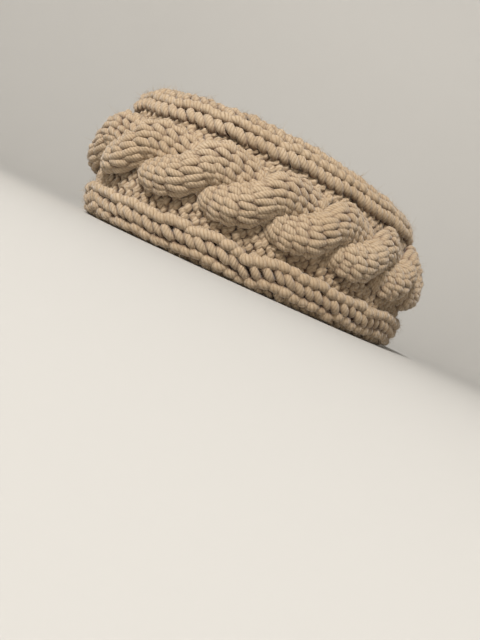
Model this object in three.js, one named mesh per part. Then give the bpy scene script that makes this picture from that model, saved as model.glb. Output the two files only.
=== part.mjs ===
// Ear warmer headband: one chunky knitted band, closed into a ring that is open above and below.
// Two ribbed borders, two sunk purl gutters and a rope cable of two strands run round it side by side.
// Millimetres, +Z up. The band stands on its lower edge, with the origin at the middle of its footprint.
import * as THREE from "three";
import { ParametricGeometry } from "three/addons/geometries/ParametricGeometry.js";
import { mergeVertices } from "three/addons/utils/BufferGeometryUtils.js";

// The head line, which is the inner face of the band at its lower edge
const HEAD_LONG = 184;
const HEAD_WIDE = 142;

// Widths across the knitting, measured along the wall
const BORDER_WIDE = 18.5;
const LOWER_GUTTER_WIDE = 5.5;
const UPPER_GUTTER_WIDE = 4;
const CABLE_WIDE = 36;

// Thicknesses, measured out from the head
const BORDER_THICK = 7.8;
const GUTTER_THICK = 4.4;
const STRAND_THICK = 6.6;

// The wall's shape: it flares at the foot and curves in over the head
const FOOT_FLARE = THREE.MathUtils.degToRad(21.4);
const CURVE_RADIUS = 81;
const FOOT_PRESS = 0.5;

// The band leans in further on one side, and on two opposite quarters
const SIDE_LEAN = { by: THREE.MathUtils.degToRad(6.4), at: THREE.MathUtils.degToRad(-64) };
const QUARTER_LEAN = { by: THREE.MathUtils.degToRad(4), at: THREE.MathUtils.degToRad(-26) };

// The rope cable: how often its strands cross in one round, and where the first stand side by side
const CROSSINGS = 16;
const CABLE_START = -0.013;
// How sharply the strands turn at a crossing, how much wider they get, and how they tip over each other
const TURN_SOFTNESS = 0.75;
const STRAND_SPREAD = 0.3;
const STRAND_TILT = 0.7;
const RISE_BLEND = 0.2;
// How far the upper edge is drawn in at each crossing
const EDGE_DRAW = 0.4;

// Room between neighbouring pieces
const PIECE_GAP = 0.3;
const STRAND_GAP = 0.45;

// How finely the rings are cut
const BORDER_STATIONS = 6 * CROSSINGS;
const CABLE_STATIONS = 8 * CROSSINGS;
const STRAND_SIDES = 8;

const CABLE_FOOT = BORDER_WIDE + LOWER_GUTTER_WIDE;
const CABLE_MIDDLE = CABLE_FOOT + CABLE_WIDE / 2;
const BAND_WIDE = CABLE_FOOT + CABLE_WIDE + UPPER_GUTTER_WIDE + BORDER_WIDE;
const STRAND_WIDE = (CABLE_WIDE - STRAND_GAP) / 2;
const STRAND_SWING = (CABLE_WIDE - STRAND_WIDE) / 2;
const STRAND_RISE = STRAND_THICK + STRAND_GAP;

// A border's outline: shares of its thickness outwards and of its width from the free edge
const BORDER_OUTLINE = [
  { out: 0, up: 0.08 },
  { out: 0.25, up: 0 },
  { out: 0.72, up: 0 },
  { out: 0.97, up: 0.12 },
  { out: 1, up: 0.3 },
  { out: 0.7, up: 0.48 },
  { out: 0.98, up: 0.66 },
  { out: 0.94, up: 0.84 },
  { out: 0.55, up: 1 },
  { out: 0, up: 1 },
];

// A gutter's outline: shares of its thickness outwards and of its width from the border
const GUTTER_OUTLINE = [
  { out: 0, across: 0 },
  { out: 0.9, across: 0 },
  { out: 1, across: 0.3 },
  { out: 1, across: 0.7 },
  { out: 0.85, across: 1 },
  { out: 0, across: 1 },
];

// One turn is measured along the knitting, so that equal shares of it are equal lengths
const TURN_STEPS = 720;
const lengthShares = measureLengthShares();

function measureLengthShares() {
  const halfLong = HEAD_LONG / 2 + STRAND_THICK;
  const halfWide = HEAD_WIDE / 2 + STRAND_THICK;
  const step = (2 * Math.PI) / TURN_STEPS;
  const lengths = [0];
  for (let i = 0; i < TURN_STEPS; i += 1) {
    const middle = (i + 0.5) * step;
    const speed = Math.hypot(halfLong * Math.sin(middle), halfWide * Math.cos(middle));
    lengths.push(lengths[i] + speed * step);
  }
  return lengths.map((length) => length / lengths[TURN_STEPS]);
}

// Angle on the head line at a share of one turn
function angleAt(turn) {
  const share = turn - Math.floor(turn);
  let after = 1;
  while (lengthShares[after] < share) after += 1;
  const before = after - 1;
  const part = (share - lengthShares[before]) / (lengthShares[after] - lengthShares[before]);
  return ((before + part) / TURN_STEPS) * 2 * Math.PI;
}

// Point of the wall: a share of a turn, millimetres up along the wall and millimetres out from the head
function wallPoint(turn, up, out) {
  const angle = angleAt(turn);
  const sideLean = SIDE_LEAN.by * Math.cos(angle - SIDE_LEAN.at);
  const quarterLean = QUARTER_LEAN.by * Math.cos(2 * (angle - QUARTER_LEAN.at));
  const footLean = sideLean + quarterLean - FOOT_FLARE;
  const lean = footLean + up / CURVE_RADIUS;
  const inward = CURVE_RADIUS * (Math.cos(footLean) - Math.cos(lean)) - out * Math.cos(lean);
  const height = CURVE_RADIUS * (Math.sin(lean) - Math.sin(footLean)) + out * Math.sin(lean);
  const normal = new THREE.Vector2(HEAD_WIDE * Math.cos(angle), HEAD_LONG * Math.sin(angle)).normalize();
  return new THREE.Vector3(
    (HEAD_LONG / 2) * Math.cos(angle) - inward * normal.x,
    (HEAD_WIDE / 2) * Math.sin(angle) - inward * normal.y,
    Math.max(0, height - FOOT_PRESS),
  );
}

// Where the crossing stands: 0 with the strands side by side, a quarter turn later one on the other
function crossingAt(turn) {
  const phase = Math.PI * CROSSINGS * (turn - CABLE_START);
  const across = Math.cos(phase);
  const over = TURN_SOFTNESS * Math.sin(phase);
  const size = Math.hypot(across, over);
  return { across: across / size, over: over / size };
}

// A strand's half width, which grows towards the crossing
function strandHalfWidth(crossing) {
  return (STRAND_WIDE / 2) * (1 + STRAND_SPREAD * crossing.over * crossing.over);
}

// Half the width of both strands together, which is least where they cross
function cableHalfWidth(turn) {
  const crossing = crossingAt(turn);
  return strandHalfWidth(crossing) + STRAND_SWING * Math.abs(crossing.across);
}

function edgeDraw(turn) {
  return EDGE_DRAW * Math.cos(2 * Math.PI * CROSSINGS * (turn - CABLE_START));
}

function ringGeometry(sides, stations, pointAt) {
  const sweep = (side, turn, target) => {
    const station = Math.round(turn * stations) % stations;
    const point = (sides - Math.round(side * sides)) % sides;
    target.copy(pointAt(point, station / stations));
  };
  const swept = new ParametricGeometry(sweep, sides, stations);
  swept.deleteAttribute("normal");
  swept.deleteAttribute("uv");
  const closed = mergeVertices(swept);
  closed.computeVertexNormals();
  return closed;
}

function lowerBorder() {
  return ringGeometry(BORDER_OUTLINE.length, BORDER_STATIONS, (side, turn) => {
    const { out, up } = BORDER_OUTLINE[side];
    return wallPoint(turn, up * BORDER_WIDE, out * BORDER_THICK);
  });
}

function upperBorder() {
  const sides = BORDER_OUTLINE.length;
  return ringGeometry(sides, BORDER_STATIONS, (side, turn) => {
    const { out, up } = BORDER_OUTLINE[sides - 1 - side];
    return wallPoint(turn, BAND_WIDE + edgeDraw(turn) - up * BORDER_WIDE, out * BORDER_THICK);
  });
}

function lowerGutter() {
  const edge = BORDER_WIDE + PIECE_GAP;
  return ringGeometry(GUTTER_OUTLINE.length, CABLE_STATIONS, (side, turn) => {
    const { out, across } = GUTTER_OUTLINE[side];
    const wide = CABLE_MIDDLE - cableHalfWidth(turn) - PIECE_GAP - edge;
    return wallPoint(turn, edge + across * wide, out * GUTTER_THICK);
  });
}

function upperGutter() {
  const sides = GUTTER_OUTLINE.length;
  return ringGeometry(sides, CABLE_STATIONS, (side, turn) => {
    const { out, across } = GUTTER_OUTLINE[sides - 1 - side];
    const edge = BAND_WIDE + borderChord(turn) - BORDER_WIDE - PIECE_GAP;
    const wide = edge - CABLE_MIDDLE - cableHalfWidth(turn) - PIECE_GAP;
    return wallPoint(turn, edge - across * wide, out * GUTTER_THICK);
  });
}

// The drawn edge as the border's straight facets follow it, for what lies against the border
function borderChord(turn) {
  const station = Math.floor(turn * BORDER_STATIONS + 1e-9);
  const part = turn * BORDER_STATIONS - station;
  const from = edgeDraw(station / BORDER_STATIONS);
  const to = edgeDraw((station + 1) / BORDER_STATIONS);
  return from + part * (to - from);
}

// One strand: a flattened rope that swings across the cable and rises over the other strand
function cableStrand(halfTurns) {
  return ringGeometry(STRAND_SIDES, CABLE_STATIONS, (side, turn) => {
    const crossing = crossingAt(turn);
    const across = halfTurns % 2 ? -crossing.across : crossing.across;
    const over = halfTurns % 2 ? -crossing.over : crossing.over;
    const lift = (over + Math.hypot(over, RISE_BLEND)) / 2;
    const angle = (2 * Math.PI * side) / STRAND_SIDES;
    const tilt = 1 - STRAND_TILT * across * Math.cos(angle);
    const up = CABLE_MIDDLE - STRAND_SWING * across - strandHalfWidth(crossing) * Math.cos(angle);
    const out = STRAND_THICK / 2 + STRAND_RISE * lift * tilt + (STRAND_THICK / 2) * Math.sin(angle);
    return wallPoint(turn, up, out);
  });
}

// Every piece is knitted from the same yarn
function knitted(name, geometry) {
  const yarn = new THREE.MeshStandardMaterial({ color: "#b3a086", roughness: 0.95, metalness: 0 });
  const piece = new THREE.Mesh(geometry, yarn);
  piece.name = name;
  return piece;
}

const headband = new THREE.Group();
headband.add(knitted("lower_border", lowerBorder()));
headband.add(knitted("lower_purl_gutter", lowerGutter()));
headband.add(knitted("cable_strand_1", cableStrand(0)));
headband.add(knitted("cable_strand_2", cableStrand(1)));
headband.add(knitted("upper_purl_gutter", upperGutter()));
headband.add(knitted("upper_border", upperBorder()));

// The lean moves the outline off the head line's centre, so the whole band is set back over the origin
const reach = new THREE.Box3().setFromObject(headband);
const middle = reach.getCenter(new THREE.Vector3());
headband.position.set(-middle.x, -middle.y, -reach.min.z);

export default headband;
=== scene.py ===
"""Ear warmer headband in chunky plied acrylic, knitted stitch by stitch over its solids.

The band is two ribbed borders, two sunk purl gutters and a rope cable of two strands. Each row of
yarn is a tube that runs across the band through its loops, and ninety-six rows close the ring.
The band's lengths are millimetres, and turn to metres as a mesh is made. The room's are metres.
"""

import logging
import math
from dataclasses import dataclass, field
from enum import Enum

import bpy
import numpy as np
from mathutils import Matrix, Vector

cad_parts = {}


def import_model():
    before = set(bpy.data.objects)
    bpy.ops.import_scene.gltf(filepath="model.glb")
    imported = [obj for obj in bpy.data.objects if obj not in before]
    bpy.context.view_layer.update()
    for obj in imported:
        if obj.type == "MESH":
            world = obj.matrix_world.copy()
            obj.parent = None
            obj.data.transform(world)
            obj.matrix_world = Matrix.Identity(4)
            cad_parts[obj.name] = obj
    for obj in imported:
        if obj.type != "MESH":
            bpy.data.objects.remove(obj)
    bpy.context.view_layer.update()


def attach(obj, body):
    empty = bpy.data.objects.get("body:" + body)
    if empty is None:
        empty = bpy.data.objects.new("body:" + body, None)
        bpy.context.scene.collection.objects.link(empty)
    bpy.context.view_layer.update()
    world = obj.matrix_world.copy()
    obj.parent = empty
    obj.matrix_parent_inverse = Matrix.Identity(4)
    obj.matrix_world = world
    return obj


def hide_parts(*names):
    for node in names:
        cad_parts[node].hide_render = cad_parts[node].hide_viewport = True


logging.basicConfig(level=logging.INFO, format="%(message)s")
log = logging.getLogger("headband")

MM = 0.001
BODY = "root"
MARKS = "yarn"
OPEN_AIR = "open_air"


class Side(Enum):
    """Which side of the knitting a column turns to the eye."""

    KNIT = 1.0
    PURL = -1.0


def linear(hex_colour: str) -> tuple[float, float, float, float]:
    """Turn an sRGB hex colour to linear.

    Args:
        hex_colour: six hex digits.

    Returns:
        Linear red, green and blue, and an alpha of one.
    """
    shares = [int(hex_colour[i : i + 2], 16) / 255 for i in (0, 2, 4)]
    lit = [s / 12.92 if s <= 0.04045 else ((s + 0.055) / 1.055) ** 2.4 for s in shares]
    return (lit[0], lit[1], lit[2], 1.0)


def smooth(edge: np.ndarray) -> np.ndarray:
    """Ease shares from 0 to 1, and hold them there outside."""
    held = np.clip(edge, 0.0, 1.0)
    return held * held * (3 - 2 * held)


def repeated(
    at: np.ndarray, places: tuple[float, ...], heights: tuple[float, ...], period: float
) -> np.ndarray:
    """Run a smooth curve that repeats through points.

    Args:
        at: where the curve is wanted.
        places: where the points lie, in rising order within one period.
        heights: the curve's height at each point.
        period: the length after which the curve repeats.

    Returns:
        The curve's heights.
    """
    before = [places[-2] - period, places[-1] - period]
    after = [places[0] + period, places[1] + period]
    x = np.array([*before, *places, *after])
    y = np.array([*heights[-2:], *heights, *heights[:2]])
    rise = np.zeros_like(y)
    rise[1:-1] = (y[2:] - y[:-2]) / (x[2:] - x[:-2])
    within = (at - places[0]) % period + places[0]
    k = np.clip(np.searchsorted(x, within, side="right") - 1, 1, len(x) - 3)
    wide = x[k + 1] - x[k]
    u = (within - x[k]) / wide
    start = (2 * u**3 - 3 * u**2 + 1) * y[k] + (u**3 - 2 * u**2 + u) * wide * rise[k]
    return start + (3 * u**2 - 2 * u**3) * y[k + 1] + (u**3 - u**2) * wide * rise[k + 1]


@dataclass(frozen=True)
class Wall:
    """The wall that the knitting follows: an oval that flares at the foot and curves in higher up."""

    inner_long: float = 184.0
    inner_wide: float = 142.0
    foot_flare: float = math.radians(21.4)
    curve_radius: float = 81.0
    foot_press: float = 0.5
    side_lean: float = math.radians(6.4)
    side_lean_at: float = math.radians(-64)
    quarter_lean: float = math.radians(4)
    quarter_lean_at: float = math.radians(-26)
    girth_out: float = 6.6
    shift: tuple[float, float] = (1.510, -3.907)
    turn_steps: int = 720

    def girth(self) -> tuple[np.ndarray, np.ndarray]:
        """Measure one turn along the knitting.

        Returns:
            Angles round the inner line at the foot, and the length of knitting up to each.
        """
        angles = np.linspace(0, 2 * np.pi, self.turn_steps + 1)
        middles = (angles[:-1] + angles[1:]) / 2
        long_way = (self.inner_long / 2 + self.girth_out) * np.sin(middles)
        wide_way = (self.inner_wide / 2 + self.girth_out) * np.cos(middles)
        steps = np.hypot(long_way, wide_way) * 2 * np.pi / self.turn_steps
        return angles, np.concatenate([[0.0], np.cumsum(steps)])

    def length(self) -> float:
        """Give the length of one turn of the knitting."""
        return float(self.girth()[1][-1])

    def point(self, turn: np.ndarray, up: np.ndarray, out: np.ndarray) -> np.ndarray:
        """Place points on the wall.

        Args:
            turn: shares of a turn.
            up: millimetres up along the wall from its lower edge.
            out: millimetres out from the wall's inner face.

        Returns:
            Points in millimetres, with x, y and z last.
        """
        angles, lengths = self.girth()
        angle = np.interp((turn % 1.0) * lengths[-1], lengths, angles)
        side = self.side_lean * np.cos(angle - self.side_lean_at)
        quarter = self.quarter_lean * np.cos(2 * (angle - self.quarter_lean_at))
        foot = side + quarter - self.foot_flare
        lean = foot + up / self.curve_radius
        inward = self.curve_radius * (np.cos(foot) - np.cos(lean)) - out * np.cos(lean)
        height = self.curve_radius * (np.sin(lean) - np.sin(foot)) + out * np.sin(lean)
        # The oval's normal stands off its radius wherever its two widths differ
        normal_x = self.inner_wide * np.cos(angle)
        normal_y = self.inner_long * np.sin(angle)
        size = np.hypot(normal_x, normal_y)
        x = self.inner_long / 2 * np.cos(angle) - inward * normal_x / size + self.shift[0]
        y = self.inner_wide / 2 * np.sin(angle) - inward * normal_y / size + self.shift[1]
        return np.stack([x, y, height - self.foot_press], -1)


@dataclass(frozen=True)
class Plan:
    """The band's layout across the knitting, from its lower edge, and round it."""

    rows: int = 96
    crossings: int = 16
    border_wide: float = 18.5
    lower_gutter_wide: float = 5.5
    upper_gutter_wide: float = 4.0
    cable_wide: float = 36.0
    edge_draw: float = 0.4
    cable_start: float = -0.013
    # How abruptly the strands change places, and how many crossings late they rise
    swap: float = 1.25
    later: float = 0.02
    # A strand's edges at places along one wave of it, in crossings and in millimetres up the wall
    wave: float = 2.0
    lobe_at: tuple[float, ...] = (
        -0.30, -0.20, -0.10, 0.05, 0.20, 0.35, 0.45, 0.55, 0.65, 0.80, 1.00, 1.25, 1.45, 1.58
    )
    lobe_lower: tuple[float, ...] = (
        31.0, 27.4, 24.8, 24.0, 24.2, 25.2, 26.5, 28.2, 31.4, 36.6, 38.8, 37.0, 35.0, 33.5
    )
    lobe_upper: tuple[float, ...] = (
        43.0, 42.5, 42.4, 43.0, 44.4, 47.0, 50.4, 55.0, 58.4, 60.0, 60.4, 60.0, 57.0, 50.0
    )

    @property
    def band_wide(self) -> float:
        """Give the whole width of the knitting."""
        foot = self.border_wide + self.lower_gutter_wide + self.cable_wide
        return foot + self.upper_gutter_wide + self.border_wide

    def pitches(self, turn: np.ndarray, half_turns: int) -> np.ndarray:
        """Count the crossings since a strand's start.

        Args:
            turn: shares of a turn.
            half_turns: 0 for the first strand and 1 for the second.

        Returns:
            Crossings, with 0 where the strand lies lowest.
        """
        return self.crossings * (turn - self.cable_start) + half_turns

    def lift(self, turn: np.ndarray, half_turns: int) -> np.ndarray:
        """Give how far a strand stands over the other.

        Args:
            turn: shares of a turn.
            half_turns: 0 for the first strand and 1 for the second.

        Returns:
            Shares of the rise, 0 under the other strand to 1 over it.
        """
        over = np.tanh(self.swap * np.sin(np.pi * (self.pitches(turn, half_turns) - self.later)))
        return (1 + over / np.tanh(self.swap)) / 2

    def edges(self, turn: np.ndarray, half_turns: int) -> tuple[np.ndarray, np.ndarray]:
        """Give a strand's edges, which part where it lies over the other and close where it dives.

        Args:
            turn: shares of a turn.
            half_turns: 0 for the first strand and 1 for the second.

        Returns:
            Heights of its lower and upper edge along the wall.
        """
        pitches = self.pitches(turn, half_turns)
        lower = repeated(pitches, self.lobe_at, self.lobe_lower, self.wave)
        return lower, repeated(pitches, self.lobe_at, self.lobe_upper, self.wave)

    def drawn(self, turn: np.ndarray) -> np.ndarray:
        """Give how far each crossing draws the upper edge."""
        return self.edge_draw * np.cos(2 * np.pi * self.crossings * (turn - self.cable_start))


@dataclass(frozen=True)
class Yarn:
    """Chunky plied yarn: how thick it is and how its loops lie in the knitting."""

    radius: float = 1.85
    # A loop's half height in rows, and how far its legs stand apart and lean, in columns
    loop_height: float = 0.84
    leg_spread: float = 0.195
    leg_lean: float = 0.21
    # How far the legs stand out of the knitting's middle, and the small unevenness, in millimetres
    depth: float = 1.85
    uneven: float = 0.3
    stitch_size: float = 6.0
    # Slow drifts of the columns, by how many waves each has in one round
    wander: float = 0.05
    slow_waves: tuple[int, ...] = (5, 9, 14, 21)
    # How much thinner the yarn is where it passes behind, and in the leg that lies aslant
    pinch: float = 0.14
    slim: float = 0.0
    thick_uneven: float = 0.06
    # Over how many columns a row passes from the front of the knitting to its back
    cross_over: float = 0.3

    def course(
        self, plan: Plan, side: Side, start: float, end: float, per_column: int,
        columns: int, crossed_ends: bool, chance: np.random.Generator,
    ) -> tuple[np.ndarray, np.ndarray, np.ndarray, np.ndarray]:
        """Lay every row's yarn through its loops in flat knitting.

        Args:
            plan: the band's layout.
            side: the side of the stitches that faces out.
            start: where a row starts, in columns.
            end: where a row ends, in columns.
            per_column: points to a column.
            columns: columns in the piece.
            crossed_ends: whether the ends pass from the front to the back of the knitting.
            chance: source of the small unevenness.

        Returns:
            Row, column, depth and radius at each point, with a line of points to a row.
        """
        steps = round((end - start) * per_column) + 1
        t = np.linspace(start, end, steps)[None, :]
        tau = 2 * np.pi * t
        rows = np.arange(plan.rows)[:, None]
        # Slack is drawn at every half column, from a column before the piece to one past it
        knots = np.arange(2 * columns + 5) / 2 - 1.0
        row_slack, column_slack, depth_slack, thick_slack = [
            np.stack([np.interp(t[0], knots, line) for line in chance.normal(size=(plan.rows, knots.size))])
            for _ in range(4)
        ]
        row = rows - self.loop_height * np.cos(tau) + self.uneven / self.stitch_size * row_slack
        column = t + self.leg_spread * np.sin(2 * tau) + self.leg_lean * np.cos(tau)
        column = column + self.uneven / self.stitch_size * column_slack
        for waves in self.slow_waves:
            along = waves * rows / plan.rows + chance.uniform()
            column = column + self.wander * chance.normal() * np.sin(2 * np.pi * along)
        facing = np.full_like(t, side.value)
        if crossed_ends:
            facing = facing * smooth(np.minimum(t, columns - t) / self.cross_over)
        depth = -self.depth * np.cos(2 * tau) * facing + self.uneven * depth_slack
        swell = 1 - self.pinch * np.cos(2 * tau) - self.slim * np.sin(tau) + self.thick_uneven * thick_slack
        return row, column, depth, self.radius * swell


@dataclass(frozen=True)
class BorderZone:
    """A ribbed border of two knit columns, with its free edge rolled under."""

    wall: Wall
    plan: Plan
    upper: bool
    columns: int = 2
    column_wide: float = 9.0
    # The section passes this column at these millimetres out of the wall and up from the free edge
    anchor_column: float = 1.0
    anchor: tuple[float, float] = (4.3, 9.7)
    # The section's slope in degrees at columns from the free edge
    bends: tuple[float, ...] = (-92, -78, -50, -22, -4, 6, 24, 40)
    bend_columns: tuple[float, ...] = (-0.3, 0.0, 0.4, 0.8, 1.2, 1.6, 2.0, 2.4)
    section_points: int = 200

    def place(self, row: np.ndarray, column: np.ndarray, depth: np.ndarray) -> np.ndarray:
        """Put flat knitting on the border.

        Args:
            row: rows round the band.
            column: columns, counted upwards.
            depth: millimetres towards the eye.

        Returns:
            Points in millimetres.
        """
        from_rim = self.columns - column if self.upper else column
        fine = np.linspace(self.bend_columns[0], self.bend_columns[-1], self.section_points)
        bend = np.radians(np.interp(fine, self.bend_columns, self.bends))
        step = (fine[1] - fine[0]) * self.column_wide
        outs = np.cumsum(-np.sin(bend)) * step
        ups = np.cumsum(np.cos(bend)) * step
        middle = np.argmin(np.abs(fine - self.anchor_column))
        outs = outs - outs[middle] + self.anchor[0]
        ups = ups - ups[middle] + self.anchor[1]
        here = np.interp(from_rim, fine, bend)
        out = np.interp(from_rim, fine, outs) + depth * np.cos(here)
        up = np.interp(from_rim, fine, ups) + depth * np.sin(here)
        turn = row / self.plan.rows
        if self.upper:
            up = self.plan.band_wide + self.plan.drawn(turn) - up
        return self.wall.point(turn, up, out)


@dataclass(frozen=True)
class GutterZone:
    """A sunk gutter of purl columns, which shows most at the notches between the cable's lobes."""

    wall: Wall
    plan: Plan
    upper: bool
    border_edge: float = 17.4
    column_wide: float = 4.8
    out: float = 1.2

    def place(self, row: np.ndarray, column: np.ndarray, depth: np.ndarray) -> np.ndarray:
        """Put flat knitting in the gutter.

        Args:
            row: rows round the band.
            column: columns, counted upwards.
            depth: millimetres towards the eye.

        Returns:
            Points in millimetres.
        """
        turn = row / self.plan.rows
        up = self.border_edge + self.column_wide * column
        if self.upper:
            up = self.plan.band_wide + self.plan.drawn(turn) - up
        return self.wall.point(turn, up, self.out + depth)


@dataclass(frozen=True)
class StrandZone:
    """One strand of the cable: three knit columns on an arched back that swings over the other strand."""

    wall: Wall
    plan: Plan
    half_turns: int
    # The column on top of the back, and how far the strand rolls to either side of it
    middle_column: float = 1.6
    roll: float = 0.4
    # The back is arched this far at this many columns from its top
    half_columns: float = 1.75
    arch: float = math.radians(70)
    yarn_room: float = 3.3
    edge_drop: float = 4.4
    least_drop: float = 0.4
    # How far the back stands off the wall, and how much further over the other strand
    crown: float = 3.2
    rise: float = 7.4
    # How fully the rows turn square to the strand's own run, and over what share of a turn it is read
    turned: float = 0.75
    near: float = 0.0005

    def middle(self, turn: np.ndarray) -> np.ndarray:
        """Give the height of the strand's middle line along the wall."""
        lower, upper = self.plan.edges(turn, self.half_turns)
        return (lower + upper) / 2

    def sideways(self, turn: np.ndarray, bend: np.ndarray) -> np.ndarray:
        """Give how far a bend of the strand's back lies above its middle line."""
        lower, upper = self.plan.edges(turn, self.half_turns)
        return ((upper - lower) / 2 - self.yarn_room) * np.sin(bend) / np.sin(self.arch)

    def place(self, row: np.ndarray, column: np.ndarray, depth: np.ndarray) -> np.ndarray:
        """Put flat knitting on the strand's back.

        Args:
            row: rows round the band.
            column: columns, counted upwards.
            depth: millimetres towards the eye.

        Returns:
            Points in millimetres.
        """
        turn = row / self.plan.rows
        length = self.wall.length()
        climb = self.middle(turn + self.near) - self.middle(turn - self.near)
        slope = np.arctan2(climb, 2 * self.near * length) * self.turned
        on_top = self.middle_column - self.roll * np.cos(np.pi * self.plan.pitches(turn, self.half_turns))
        bend = (column - on_top) / self.half_columns * self.arch
        turn = turn - (self.sideways(turn, bend) + depth * np.sin(bend)) * np.sin(slope) / length
        lift = self.plan.lift(turn, self.half_turns)
        full_drop = self.edge_drop * (self.least_drop + (1 - self.least_drop) * lift)
        drop = full_drop * (1 - np.cos(bend)) / (1 - np.cos(self.arch))
        out = self.crown + self.rise * lift - drop + depth * np.cos(bend)
        up = self.middle(turn) + self.sideways(turn, bend) + depth * np.sin(bend) * np.cos(slope)
        return self.wall.point(turn, up, out)


@dataclass(frozen=True)
class Halo:
    """The slight halo of loose fibres on brushed acrylic, which softens the band's outline."""

    shortest: float = 1.5
    longest: float = 4.5
    # A real fibre of 0.02 mm is too fine to show, so it is drawn seven times as thick
    thick: float = 0.14
    tip: float = 0.2
    root_at: float = 0.95
    upright: float = 0.7
    scatter: float = 0.5
    curl: float = 0.35
    joints: int = 2


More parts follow.
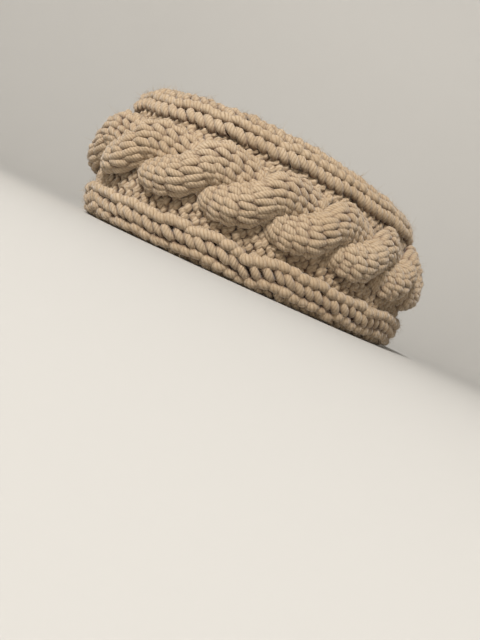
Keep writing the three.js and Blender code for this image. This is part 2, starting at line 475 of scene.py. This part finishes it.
@dataclass
class Cloth:
    """A mesh in the making: points in millimetres, four-sided faces and their yarn coordinates."""

    end_taper: float = 0.35
    open_steps: int = 5
    twist_starts: float = 50.0
    fibre_marks: float = 90.0
    points: list[np.ndarray] = field(default_factory=list)
    faces: list[np.ndarray] = field(default_factory=list)
    marks: list[np.ndarray] = field(default_factory=list)
    open_air: list[np.ndarray] = field(default_factory=list)
    count: int = 0

    def add(self, points: np.ndarray, faces: np.ndarray, marks: np.ndarray, open_air: np.ndarray) -> None:
        """Join more faces on.

        Args:
            points: points, one to a line.
            faces: four point numbers to a line, counted from this batch's first.
            marks: yarn coordinates, one pair for each corner of each face.
            open_air: for each point, 0 deep between the loops to 1 on either face of the knitting, which
                sets how much shade is painted there.
        """
        self.points.append(points)
        self.open_air.append(open_air)
        self.faces.append(faces + self.count)
        self.marks.append(marks)
        self.count += len(points)

    def tubes(
        self, paths: np.ndarray, radius: np.ndarray, depth: np.ndarray, outward: np.ndarray,
        half_thick: float, sides: int, chance: np.random.Generator,
    ) -> None:
        """Sweep round yarn along many paths.

        Args:
            paths: points of each path, in millimetres.
            radius: the yarn's radius at each point.
            depth: how far each point lies from the middle of the knitting.
            outward: the direction out of the knitting at each point.
            half_thick: from the knitting's middle to either face.
            sides: sides of the yarn's section.
            chance: source of each yarn's start along its twist.
        """
        lines, steps, _ = paths.shape
        ahead = np.gradient(paths, axis=1)
        ahead /= np.linalg.norm(ahead, axis=2, keepdims=True)
        normal = np.zeros_like(paths)
        first = np.cross(ahead[:, 0], [0.0, 0.0, 1.0])
        normal[:, 0] = first / np.linalg.norm(first, axis=1, keepdims=True)
        for k in range(1, steps):
            carried = normal[:, k - 1]
            carried = carried - np.sum(carried * ahead[:, k], axis=1, keepdims=True) * ahead[:, k]
            normal[:, k] = carried / np.linalg.norm(carried, axis=1, keepdims=True)
        other = np.cross(ahead, normal)
        angle = 2 * np.pi * np.arange(sides) / sides
        spokes = (
            normal[:, :, None] * np.cos(angle)[None, None, :, None]
            + other[:, :, None] * np.sin(angle)[None, None, :, None]
        )
        taper = np.ones(steps)
        taper[[0, -1]] = self.end_taper
        skin = paths[:, :, None] + spokes * (radius * taper)[:, :, None, None]
        run = np.zeros((lines, steps))
        run[:, 1:] = np.cumsum(np.linalg.norm(np.diff(paths, axis=1), axis=2), axis=1)
        run += chance.uniform(0, self.twist_starts, size=(lines, 1))
        number = np.arange(lines * steps * sides).reshape(lines, steps, sides)
        after = np.roll(number, -1, axis=2)
        faces = np.stack([number[:, :-1], after[:, :-1], after[:, 1:], number[:, 1:]], -1)
        low = np.broadcast_to(np.arange(sides) / sides, (lines, steps - 1, sides))
        high = low + 1 / sides
        here = np.broadcast_to(run[:, :-1, None], low.shape)
        there = np.broadcast_to(run[:, 1:, None], low.shape)
        marks = np.stack(
            [np.stack([low, here], -1), np.stack([high, here], -1),
             np.stack([high, there], -1), np.stack([low, there], -1)], -2,
        )
        # How far each point of the skin lies out of the knitting's middle, which sets the shade painted
        # between the loops
        away = depth[:, :, None] + radius[:, :, None] * np.sum(spokes * outward[:, :, None], axis=3)
        open_air = np.abs(away) / half_thick
        # The cut ends of the rows lie open at the rims, so no shade is painted on them
        open_air[:, :self.open_steps] = 1.0
        open_air[:, -self.open_steps:] = 1.0
        self.add(skin.reshape(-1, 3), faces.reshape(-1, 4), marks.reshape(-1, 4, 2), open_air.ravel())

    def fibres(
        self, paths: np.ndarray, radius: np.ndarray, count: int, halo: Halo, chance: np.random.Generator
    ) -> None:
        """Stand loose fibres on the yarn, each a thin curved ribbon.

        Args:
            paths: points of each yarn's path.
            radius: the yarn's radius at each point.
            count: how many fibres.
            halo: how long, thick and upright they are.
            chance: source of their places.
        """
        lines, steps, _ = paths.shape
        line = chance.integers(0, lines, count)
        step = chance.integers(1, steps - 1, count)
        ahead = paths[line, step + 1] - paths[line, step - 1]
        ahead /= np.linalg.norm(ahead, axis=1, keepdims=True)
        away = chance.normal(size=(count, 3))
        away -= np.sum(away * ahead, axis=1, keepdims=True) * ahead
        away /= np.linalg.norm(away, axis=1, keepdims=True)
        root = paths[line, step] + away * (radius[line, step] * halo.root_at)[:, None]
        long = chance.uniform(halo.shortest, halo.longest, (count, 1))
        course = ahead * chance.choice([-1.0, 1.0], (count, 1)) + away * halo.upright
        course += halo.scatter * chance.normal(size=(count, 3))
        course /= np.linalg.norm(course, axis=1, keepdims=True)
        curl = chance.normal(size=(count, 3)) * halo.curl
        wide = np.cross(course, chance.normal(size=(count, 3)))
        wide *= halo.thick / 2 / np.linalg.norm(wide, axis=1, keepdims=True)
        shares = np.linspace(0, 1, halo.joints + 1)[None, :, None]
        spine = root[:, None] + long[:, None] * (course[:, None] * shares + curl[:, None] * shares**2)
        slim = (1 - (1 - halo.tip) * shares) * wide[:, None]
        points = np.stack([spine - slim, spine + slim], 2)
        number = np.arange(points[..., 0].size).reshape(count, halo.joints + 1, 2)
        faces = np.stack(
            [number[:, :-1, 0], number[:, :-1, 1], number[:, 1:, 1], number[:, 1:, 0]], -1
        ).reshape(-1, 4)
        around = chance.uniform(size=len(faces))
        along = chance.uniform(0, self.fibre_marks, len(faces))
        marks = np.repeat(np.stack([around, along], -1)[:, None], 4, axis=1)
        self.add(points.reshape(-1, 3), faces, marks, np.ones(points[..., 0].size))

    def mesh(self, name: str) -> bpy.types.Mesh:
        """Make the Blender mesh, with any yarn that would reach below the floor pressed flat on it.

        Args:
            name: the mesh's name.

        Returns:
            The mesh, in metres.
        """
        points = np.concatenate(self.points) * MM
        points[:, 2] = np.maximum(points[:, 2], 0.0)
        faces = np.concatenate(self.faces)
        marks = np.concatenate(self.marks)
        mesh = bpy.data.meshes.new(name)
        mesh.vertices.add(len(points))
        mesh.vertices.foreach_set("co", points.astype(np.float32).ravel())
        mesh.loops.add(faces.size)
        mesh.loops.foreach_set("vertex_index", faces.astype(np.int32).ravel())
        mesh.polygons.add(len(faces))
        mesh.polygons.foreach_set("loop_start", np.arange(0, faces.size, 4, dtype=np.int32))
        mesh.polygons.foreach_set("loop_total", np.full(len(faces), 4, dtype=np.int32))
        mesh.polygons.foreach_set("use_smooth", np.ones(len(faces), dtype=bool))
        # Stored for the yarn's material, which paints shade between the loops from it
        air = mesh.attributes.new(OPEN_AIR, "FLOAT", "POINT")
        air.data.foreach_set("value", np.clip(np.concatenate(self.open_air), 0, 1).astype(np.float32))
        layer = mesh.uv_layers.new(name=MARKS)
        layer.data.foreach_set("uv", marks.astype(np.float32).ravel())
        mesh.update(calc_edges=True)
        mesh.validate()
        return mesh


def add_node(
    tree: bpy.types.NodeTree, kind: str, settings: dict[str, object], links: dict[int | str, object]
) -> bpy.types.Node:
    """Add a node with its settings, values and links.

    Args:
        tree: the material's nodes.
        kind: the node's type.
        settings: the node's own settings.
        links: for each input, a value or the output that feeds it.

    Returns:
        The node.
    """
    node = tree.nodes.new(kind)
    for name, value in settings.items():
        setattr(node, name, value)
    for name, value in links.items():
        if isinstance(value, bpy.types.NodeSocket):
            tree.links.new(value, node.inputs[name])
        else:
            node.inputs[name].default_value = value
    return node


@dataclass(frozen=True)
class PliedAcrylic:
    """Plied acrylic yarn, spun and twisted from five plies and slightly brushed."""

    # Spun acrylic scatters what light it gets: the eye sees ropy ridges, dark grooves and no highlight. The
    # grooves' darkness is partly painted shade in the colour
    light: str = "C0B09A"
    dark: str = "A28D73"
    # Painted shade: the yarn is coloured darker in the grooves between its plies, where shade falls
    groove_shade: str = "8F795E"
    # Painted shade: the darkest brown, for the crevices deep between the loops
    crevice_shade: str = "4A2C19"
    roughness: float = 0.92
    specular: float = 0.25
    # Loose fibre ends catch a little light at grazing angles
    sheen: float = 0.25
    sheen_roughness: float = 0.5
    # Five ridges pass any point of the yarn in one lay of seven millimetres
    plies: float = 5.0
    lay: float = 7.0
    ply_height: float = 0.19
    ply_round: float = 0.55
    # Painted shade: below the first ply height the yarn takes the darker colour of the grooves, above the
    # second its own
    groove_shade_ends: tuple[float, float] = (0.15, 0.75)
    # Fibres lie along the ply. At 0.02 mm they are too fine, so four lines to a ply are drawn, 3 mm long
    fibre_lines: float = 4.0
    fibre_run: float = 0.35
    fibre_height: float = 0.13
    # Heathered colour, by the metre: flecks of 2 mm within slow changes of about 29 mm
    fleck_scale: float = 500.0
    drift_scale: float = 35.0
    fleck_share: float = 0.8
    drift_share: float = 0.7
    fibre_share: float = 0.6
    lighter_by: float = -0.2
    # Painted shade: where the open air is under the first share the colour is the deep brown of the
    # crevices, standing in for the shade that falls between the loops, and above the second it is clear of
    # it
    crevice_shade_ends: tuple[float, float] = (0.15, 0.88)

    def relief(self, tree: bpy.types.NodeTree) -> tuple[bpy.types.NodeSocket, bpy.types.NodeSocket]:
        """Draw the plies round the yarn and the fibres along them.

        Args:
            tree: the material's nodes.

        Returns:
            The height of the plies and that of the fibres.
        """
        marks = add_node(tree, "ShaderNodeUVMap", {"uv_map": MARKS}, {})
        split = add_node(tree, "ShaderNodeSeparateXYZ", {}, {0: marks.outputs[0]})
        around = add_node(
            tree, "ShaderNodeMath", {"operation": "MULTIPLY"}, {0: split.outputs[0], 1: self.plies}
        )
        phase = add_node(
            tree, "ShaderNodeMath", {"operation": "MULTIPLY_ADD"},
            {0: split.outputs[1], 1: -self.plies / self.lay, 2: around.outputs[0]},
        )
        ridge = add_node(tree, "ShaderNodeMath", {"operation": "PINGPONG"}, {0: phase.outputs[0], 1: 0.5})
        tall = add_node(tree, "ShaderNodeMath", {"operation": "MULTIPLY"}, {0: ridge.outputs[0], 1: 2.0})
        plies = add_node(
            tree, "ShaderNodeMath", {"operation": "POWER"}, {0: tall.outputs[0], 1: self.ply_round}
        )
        along = add_node(
            tree, "ShaderNodeMath", {"operation": "MULTIPLY"}, {0: split.outputs[1], 1: self.fibre_run}
        )
        across = add_node(
            tree, "ShaderNodeMath", {"operation": "MULTIPLY"}, {0: phase.outputs[0], 1: self.fibre_lines}
        )
        lines = add_node(tree, "ShaderNodeCombineXYZ", {}, {0: across.outputs[0], 1: along.outputs[0]})
        fibres = add_node(
            tree, "ShaderNodeTexNoise", {}, {"Vector": lines.outputs[0], "Scale": 1.0, "Detail": 2.0}
        )
        return plies.outputs[0], fibres.outputs[0]

    def heather(self, tree: bpy.types.NodeTree, fibres: bpy.types.NodeSocket) -> bpy.types.NodeSocket:
        """Mix the lighter and the darker dye lot of the fibres.

        Args:
            tree: the material's nodes.
            fibres: the height of the fibres.

        Returns:
            The yarn's colour in the open.
        """
        place = add_node(tree, "ShaderNodeTexCoord", {}, {})
        fleck = add_node(
            tree, "ShaderNodeTexNoise", {},
            {"Vector": place.outputs["Object"], "Scale": self.fleck_scale, "Detail": 2.0},
        )
        drift = add_node(
            tree, "ShaderNodeTexNoise", {},
            {"Vector": place.outputs["Object"], "Scale": self.drift_scale, "Detail": 1.0},
        )
        flecked = add_node(
            tree, "ShaderNodeMath", {"operation": "MULTIPLY_ADD"},
            {0: fleck.outputs[0], 1: self.fleck_share, 2: self.lighter_by},
        )
        drifted = add_node(
            tree, "ShaderNodeMath", {"operation": "MULTIPLY_ADD"},
            {0: drift.outputs[0], 1: self.drift_share, 2: flecked.outputs[0]},
        )
        blend = add_node(
            tree, "ShaderNodeMath", {"operation": "MULTIPLY_ADD", "use_clamp": True},
            {0: fibres, 1: self.fibre_share, 2: drifted.outputs[0]},
        )
        shade = add_node(
            tree, "ShaderNodeMix", {"data_type": "RGBA"},
            {0: blend.outputs[0], 6: linear(self.light), 7: linear(self.dark)},
        )
        return shade.outputs[2]

    def shaded(
        self, tree: bpy.types.NodeTree, plies: bpy.types.NodeSocket, heather: bpy.types.NodeSocket
    ) -> bpy.types.NodeSocket:
        """Paint shade into the colour: darken the grooves between the plies and the crevices between the
        loops.

        Args:
            tree: the material's nodes.
            plies: the height of the plies.
            heather: the yarn's colour in the open.

        Returns:
            The yarn's colour, with shade painted into its grooves and crevices.
        """
        low, high = self.groove_shade_ends
        ridge = add_node(tree, "ShaderNodeMapRange", {}, {0: plies, 1: low, 2: high, 3: 0.0, 4: 1.0})
        # Painted shade in the grooves between the plies
        groove_shaded = add_node(
            tree, "ShaderNodeMix", {"data_type": "RGBA"},
            {0: ridge.outputs[0], 6: linear(self.groove_shade), 7: heather},
        )
        air = add_node(tree, "ShaderNodeAttribute", {"attribute_name": OPEN_AIR}, {})
        deep, clear = self.crevice_shade_ends
        open_air = add_node(
            tree, "ShaderNodeMapRange", {"interpolation_type": "SMOOTHSTEP"},
            {0: air.outputs["Fac"], 1: deep, 2: clear, 3: 0.0, 4: 1.0},
        )
        # Painted shade deep between the loops
        crevice_shaded = add_node(
            tree, "ShaderNodeMix", {"data_type": "RGBA"},
            {0: open_air.outputs[0], 6: linear(self.crevice_shade), 7: groove_shaded.outputs[2]},
        )
        return crevice_shaded.outputs[2]

    def material(self, name: str) -> bpy.types.Material:
        """Make the yarn's material.

        Args:
            name: the material's name.

        Returns:
            The material.
        """
        made = bpy.data.materials.new(name)
        made.use_nodes = True
        tree = made.node_tree
        tree.nodes.clear()
        plies, fibres = self.relief(tree)
        colour = self.shaded(tree, plies, self.heather(tree, fibres))
        ply_bump = add_node(
            tree, "ShaderNodeBump", {}, {"Strength": 1.0, "Distance": self.ply_height * MM, "Height": plies}
        )
        fibre_bump = add_node(
            tree, "ShaderNodeBump", {},
            {"Strength": 1.0, "Distance": self.fibre_height * MM, "Height": fibres,
             "Normal": ply_bump.outputs[0]},
        )
        shader = add_node(
            tree, "ShaderNodeBsdfPrincipled", {},
            {"Base Color": colour, "Roughness": self.roughness, "Sheen Weight": self.sheen,
             "Sheen Roughness": self.sheen_roughness, "Specular IOR Level": self.specular,
             "Normal": fibre_bump.outputs[0]},
        )
        add_node(tree, "ShaderNodeOutputMaterial", {}, {0: shader.outputs[0]})
        return made


@dataclass(frozen=True)
class MattPaint:
    """Matt wall paint, rolled on: an even pale grey with no gloss."""

    # The binder leaves no smooth film, so the floor shows the band's soft shadow and no reflection
    pale: str = "B2B0AC"
    roughness: float = 0.9

    def material(self, name: str) -> bpy.types.Material:
        """Make the paint's material.

        Args:
            name: the material's name.

        Returns:
            The material.
        """
        made = bpy.data.materials.new(name)
        made.use_nodes = True
        shader = made.node_tree.nodes["Principled BSDF"]
        shader.inputs["Base Color"].default_value = linear(self.pale)
        shader.inputs["Roughness"].default_value = self.roughness
        return made


@dataclass(frozen=True)
class Knitting:
    """One named piece of the band, made of rows of yarn.

    A row starts and ends at these columns of the piece, and has these loose fibres to a stitch.
    """

    name: str
    node: str
    zone: BorderZone | GutterZone | StrandZone
    side: Side
    yarn: Yarn
    columns: int
    start: float
    end: float
    seed: int
    fibres: int
    crossed_ends: bool = False
    per_column: int = 15
    sides: int = 10

    def build(self, plan: Plan, halo: Halo, finish: bpy.types.Material) -> bpy.types.Object:
        """Knit the piece and dress it.

        Args:
            plan: the band's layout.
            halo: the loose fibres.
            finish: the yarn's material.

        Returns:
            The piece.
        """
        chance = np.random.default_rng(self.seed)
        row, column, depth, radius = self.yarn.course(
            plan, self.side, self.start, self.end, self.per_column, self.columns, self.crossed_ends, chance
        )
        paths = self.zone.place(row, column, depth)
        half_step = 0.5
        above = self.zone.place(row, column, depth + half_step)
        below = self.zone.place(row, column, depth - half_step)
        outward = above - below
        outward /= np.linalg.norm(outward, axis=2, keepdims=True)
        half_thick = self.yarn.depth + self.yarn.radius
        cloth = Cloth()
        cloth.tubes(paths, radius, depth, outward, half_thick, self.sides, chance)
        cloth.fibres(paths, radius, self.fibres * plan.rows * self.columns, halo, chance)
        mesh = cloth.mesh(self.name)
        mesh.materials.append(finish)
        piece = bpy.data.objects.new(self.name, mesh)
        bpy.context.scene.collection.objects.link(piece)
        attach(piece, BODY)
        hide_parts(self.node)
        log.info("%s: %d faces", self.name, len(mesh.polygons))
        return piece


@dataclass(frozen=True)
class Headband:
    """The whole band: borders, gutters and the cable's strands."""

    wall: Wall = Wall()
    plan: Plan = Plan()
    halo: Halo = Halo()
    acrylic: PliedAcrylic = PliedAcrylic()
    # The lower border is knitted a little looser than the upper one
    lower_yarn: Yarn = Yarn(
        radius=2.25, loop_height=0.82, leg_spread=0.2, leg_lean=0.18, depth=2.0,
        uneven=0.42, wander=0.03, slim=0.1,
    )
    upper_yarn: Yarn = Yarn(
        radius=2.25, loop_height=0.82, leg_spread=0.2, leg_lean=0.18, depth=2.0,
        uneven=0.38, wander=0.025, slim=0.12,
    )
    gutter_yarn: Yarn = Yarn(
        radius=2.15, loop_height=0.74, leg_spread=0.15, leg_lean=0.05, depth=1.1, pinch=0.0
    )
    cable_yarn: Yarn = Yarn()

    def pieces(self) -> list[Knitting]:
        """Name the pieces of the band.

        Returns:
            The pieces, from the lower edge up.
        """
        wall, plan = self.wall, self.plan
        return [
            Knitting(
                "lower_border_knit", "lower_border", BorderZone(wall, plan, upper=False), Side.KNIT,
                self.lower_yarn, columns=2, start=-0.15, end=2.0, seed=11, fibres=120,
            ),
            Knitting(
                "lower_gutter_purl", "lower_purl_gutter", GutterZone(wall, plan, upper=False), Side.PURL,
                self.gutter_yarn, columns=3, start=0.0, end=3.0, seed=12, fibres=30, crossed_ends=True,
            ),
            Knitting(
                "cable_strand_1_knit", "cable_strand_1", StrandZone(wall, plan, half_turns=0), Side.KNIT,
                self.cable_yarn, columns=3, start=-0.6, end=3.6, seed=13, fibres=58,
            ),
            Knitting(
                "cable_strand_2_knit", "cable_strand_2", StrandZone(wall, plan, half_turns=1), Side.KNIT,
                self.cable_yarn, columns=3, start=-0.6, end=3.6, seed=14, fibres=58,
            ),
            Knitting(
                "upper_gutter_purl", "upper_purl_gutter", GutterZone(wall, plan, upper=True), Side.PURL,
                self.gutter_yarn, columns=3, start=0.0, end=3.0, seed=15, fibres=30, crossed_ends=True,
            ),
            Knitting(
                "upper_border_knit", "upper_border", BorderZone(wall, plan, upper=True), Side.KNIT,
                self.upper_yarn, columns=2, start=0.0, end=2.15, seed=16, fibres=120,
            ),
        ]

    def build(self) -> None:
        """Knit every piece of the band."""
        finish = self.acrylic.material("plied_acrylic_oatmeal")
        for piece in self.pieces():
            piece.build(self.plan, self.halo, finish)


@dataclass(frozen=True)
class Lamp:
    """A soft square light, with lengths in metres and its power in watts."""

    name: str
    place: tuple[float, float, float]
    aim: tuple[float, float, float]
    size: float
    power: float
    tint: str = "FFFCF8"

    def hang(self) -> None:
        """Hang the lamp at its place and turn it to what it faces."""
        data = bpy.data.lights.new(self.name, "AREA")
        data.size = self.size
        data.energy = self.power
        data.color = linear(self.tint)[:3]
        light = bpy.data.objects.new(self.name, data)
        bpy.context.scene.collection.objects.link(light)
        course = Vector(self.aim) - Vector(self.place)
        turned = course.to_track_quat("-Z", "Y").to_matrix()
        light.matrix_world = Matrix.Translation(self.place) @ turned.to_4x4()


BAND_MIDDLE = (0.0, 0.0, 0.04)


@dataclass(frozen=True)
class Studio:
    """A plain pale floor and backdrop, soft light and the camera at the photograph's angle."""

    paint: MattPaint = MattPaint()
    # Millimetres: the eye stays above the floor, where the photograph's would be lower still
    eye: tuple[float, float, float] = (-73.49, -355.97, 7.0)
    yaw: float = math.radians(-13.666)
    pitch: float = math.radians(-4.509)
    roll: float = math.radians(24.63)
    lens: float = 32.68
    sensor: float = 36.0
    sees_from: float = 0.005
    sees_to: float = 50.0
    key: Lamp = Lamp("key", (-0.52, -0.8, 0.88), BAND_MIDDLE, 0.22, 22.0)
    fill: Lamp = Lamp("fill", (0.9, -0.8, 0.5), BAND_MIDDLE, 0.9, 0.3)
    washers: int = 6
    first_washer: float = 0.25
    washer_size: float = 0.8
    washer_out: float = 0.5
    washer_up: float = 1.6
    washed_out: float = 2.0
    washed_up: float = 1.3
    washer_power: float = 17.0
    room_light: float = 0.15
    floor_sides: int = 96
    sweep_steps: int = 25
    flat_reach: float = 1.2
    sweep: float = 1.0
    wall_top: float = 2.2

    def camera(self) -> None:
        """Stand the camera just above the floor, rolled as the photograph is."""
        cam = bpy.data.objects.new("camera", bpy.data.cameras.new("camera"))
        bpy.context.scene.collection.objects.link(cam)
        ahead = Vector((
            -math.sin(self.yaw) * math.cos(self.pitch),
            math.cos(self.yaw) * math.cos(self.pitch),
            math.sin(self.pitch),
        ))
        level = ahead.cross(Vector((0, 0, 1))).normalized()
        above = level.cross(ahead)
        right = level * math.cos(self.roll) + above * math.sin(self.roll)
        top = above * math.cos(self.roll) - level * math.sin(self.roll)
        turned = Matrix((right, top, -ahead)).transposed()
        cam.matrix_world = Matrix.Translation(Vector(self.eye) * MM) @ turned.to_4x4()
        cam.data.lens = self.lens
        cam.data.sensor_width = self.sensor
        cam.data.clip_start = self.sees_from
        cam.data.clip_end = self.sees_to
        bpy.context.scene.camera = cam

    def floor(self) -> None:
        """Lay the pale floor, which curves up into a wall all round, so that no skyline shows."""
        bends = np.linspace(0, np.pi / 2, self.sweep_steps)
        swept = self.flat_reach + self.sweep * np.sin(bends)
        reach = np.concatenate([[0.0], swept, [self.flat_reach + self.sweep]])
        height = np.concatenate([[0.0], self.sweep * (1 - np.cos(bends)), [self.wall_top]])
        angle = 2 * np.pi * np.arange(self.floor_sides) / self.floor_sides
        level = np.broadcast_to(height[:, None], (len(height), self.floor_sides))
        x, y = reach[:, None] * np.cos(angle), reach[:, None] * np.sin(angle)
        points = np.stack([x, y, level], -1).reshape(-1, 3)
        number = np.arange(len(points)).reshape(len(reach), self.floor_sides)
        after = np.roll(number, -1, axis=1)
        faces = np.stack([number[:-1], after[:-1], after[1:], number[1:]], -1).reshape(-1, 4)
        mesh = bpy.data.meshes.new("floor")
        mesh.from_pydata(points.tolist(), [], faces.tolist())
        mesh.shade_smooth()
        mesh.materials.append(self.paint.material("matt_paint"))
        ground = bpy.data.objects.new("floor", mesh)
        bpy.context.scene.collection.objects.link(ground)

    def light(self) -> None:
        """Light the band from above and the left, a little from the right, and wash the wall all round."""
        self.key.hang()
        self.fill.hang()
        for k in range(self.washers):
            angle = 2 * math.pi * (k + self.first_washer) / self.washers
            x, y = math.cos(angle), math.sin(angle)
            place = (self.washer_out * x, self.washer_out * y, self.washer_up)
            aim = (self.washed_out * x, self.washed_out * y, self.washed_up)
            Lamp(f"wall_washer_{k + 1}", place, aim, self.washer_size, self.washer_power).hang()
        world = bpy.data.worlds.new("room")
        world.use_nodes = True
        back = world.node_tree.nodes["Background"]
        back.inputs[0].default_value = linear(self.paint.pale)
        back.inputs[1].default_value = self.room_light
        bpy.context.scene.world = world

    def build(self) -> None:
        """Set the stage."""
        self.camera()
        self.floor()
        self.light()


def main() -> None:
    """Load the solids, knit the band over them and set the stage."""
    bpy.context.scene.view_settings.view_transform = "Standard"
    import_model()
    Headband().build()
    Studio().build()


if __name__ == "__main__":
    main()
